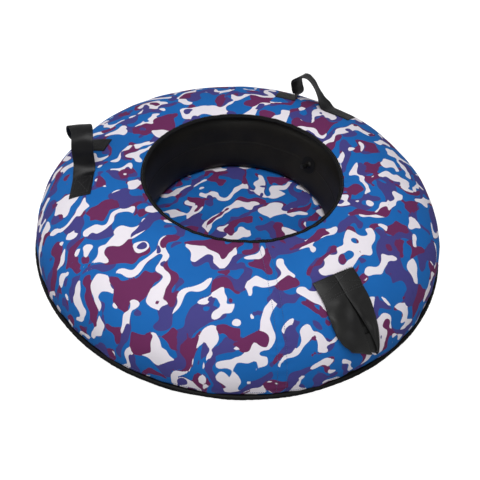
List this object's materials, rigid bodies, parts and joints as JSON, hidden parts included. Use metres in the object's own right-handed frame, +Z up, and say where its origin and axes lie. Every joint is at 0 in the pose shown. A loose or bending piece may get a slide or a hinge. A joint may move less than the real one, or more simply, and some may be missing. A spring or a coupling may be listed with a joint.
{
  "type": "towable tube",
  "caption": "Round inflatable sled tube with a fabric cover, open seat well, webbing grab handles, edge piping and a folded tow strap.",
  "frame": {"origin": "the tube's axis on the ground, at the centre of the bottom of its overall box", "axes": "+Z up along the tube's axis, +X towards the tow strap"},
  "size_m": [1.0099, 1.01, 0.2906],
  "materials": {
    "butyl": "matt black butyl, faintly dusty",
    "valve_rubber": "matt black",
    "brass": "turned brass",
    "seal_rubber": "matt black",
    "spring_steel": "bright wire",
    "cap_plastic": "satin black",
    "camouflage_cloth": "bright blue woven polyester with a printed camouflage",
    "tape": "black woven tape",
    "thread_blue": "blue polyester thread",
    "thread_black": "black polyester thread",
    "binding": "black ribbed binding tape",
    "coated_cloth": "black coated cloth, satin",
    "piping_vinyl": "black vinyl, satin",
    "cord_white": "twisted white filler cord",
    "webbing": "black woven webbing with a soft sheen",
    "strap_vinyl": "dark grey vinyl, slight sheen"
  },
  "bodies": {
    "tube": {"inner_tube": "butyl", "valve_base": "valve_rubber", "valve_stem": "brass", "valve_core": "brass", "valve_core_seal": "seal_rubber", "valve_spring": "spring_steel", "top_cover": "camouflage_cloth", "seam_tape": "tape", "seam_stitching": "thread_blue", "rim_binding": "binding", "rim_stitching": "thread_black", "seat_floor": "camouflage_cloth", "bottom_cover": "coated_cloth", "piping_cover": "piping_vinyl", "piping_cord": "cord_white", "hem_stitching": "thread_blue", "handle_left_ends": "webbing", "handle_left_stitching": "thread_black", "handle_left_backing": "tape", "handle_right_ends": "webbing", "handle_right_stitching": "thread_black", "handle_right_backing": "tape", "tow_strap_base": "strap_vinyl", "tow_strap_stitching": "thread_black", "tow_strap_backing": "tape"},
    "handle_left": {"handle_left_loop": "webbing"},
    "handle_right": {"handle_right_loop": "webbing"},
    "tow_loop": {"tow_strap_loop": "strap_vinyl"},
    "cap_washer": {"valve_cap_seal": "seal_rubber"},
    "cap": {"valve_cap": "cap_plastic"},
    "pin": {"valve_pin": "brass", "valve_pin_seal": "seal_rubber"}
  },
  "joints": [
    {"name": "handle_left_swing", "type": "hinge", "parent": "tube", "child": "handle_left", "pos_m": [-0.19438, -0.3235, 0.21199], "axis": [0.8572, -0.515, 0], "range_deg": [-65, 65], "stiffness_Nm_per_rad": 0.15},
    {"name": "handle_right_swing", "type": "hinge", "parent": "tube", "child": "handle_right", "pos_m": [-0.17718, 0.33323, 0.21199], "axis": [-0.8829, -0.4695, 0], "range_deg": [-65, 65], "stiffness_Nm_per_rad": 0.15},
    {"name": "tow_loop_lift", "type": "hinge", "parent": "tube", "child": "tow_loop", "pos_m": [0.4092, 0, 0.1786], "axis": [0, -1, 0], "range_deg": [0, 110]},
    {"name": "valve_cap_travel", "type": "slide", "parent": "tube", "child": "cap_washer", "axis": [0.1356, -0.9649, 0.225], "range_m": [0, 0.00476]},
    {"name": "valve_cap_turn", "type": "hinge", "parent": "cap_washer", "child": "cap", "pos_m": [-0.02842, 0.20222, 0.11119], "axis": [0.1356, -0.9649, 0.225], "range_deg": [0, 2160]},
    {"name": "valve_pin_press", "type": "slide", "parent": "tube", "child": "pin", "axis": [-0.1356, 0.9649, -0.225], "range_m": [0, 0.0015], "stiffness_N_per_m": 800, "springref_m": -0.001}
  ],
  "couplings": [
    {"joint": "valve_cap_turn", "follows": "valve_cap_travel", "rad_per_m": 7915.8}
  ]
}
